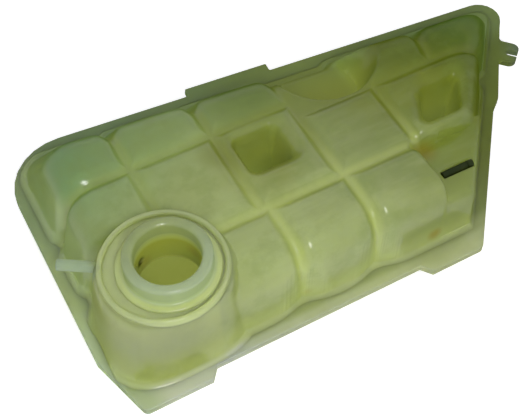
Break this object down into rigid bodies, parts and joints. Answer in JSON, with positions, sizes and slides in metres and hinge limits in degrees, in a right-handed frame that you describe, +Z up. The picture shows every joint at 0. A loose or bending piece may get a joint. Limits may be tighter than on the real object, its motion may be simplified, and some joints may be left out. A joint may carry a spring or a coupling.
{
  "type": "coolant expansion tank",
  "caption": "Translucent coolant expansion tank: quilted upper shell with tie pockets and an open filler neck, welded at a flange to a plain lower tray with a slotted lug.",
  "frame": {"origin": "a point on the flat bottom, near the middle of the outline", "axes": "+X along the straight front edge away from the filler neck's corner, +Y from the front edge to the back edge, +Z up along the filler neck"},
  "size_m": [0.3598, 0.2007, 0.101],
  "materials": {
    "tank_plastic": "aged translucent polypropylene, satin with soft gloss",
    "dark_pin": "dark, matte"
  },
  "bodies": {
    "root": {"upper_half": "tank_plastic", "lower_half": "tank_plastic", "sensor_pin": "dark_pin"}
  },
  "joints": []
}
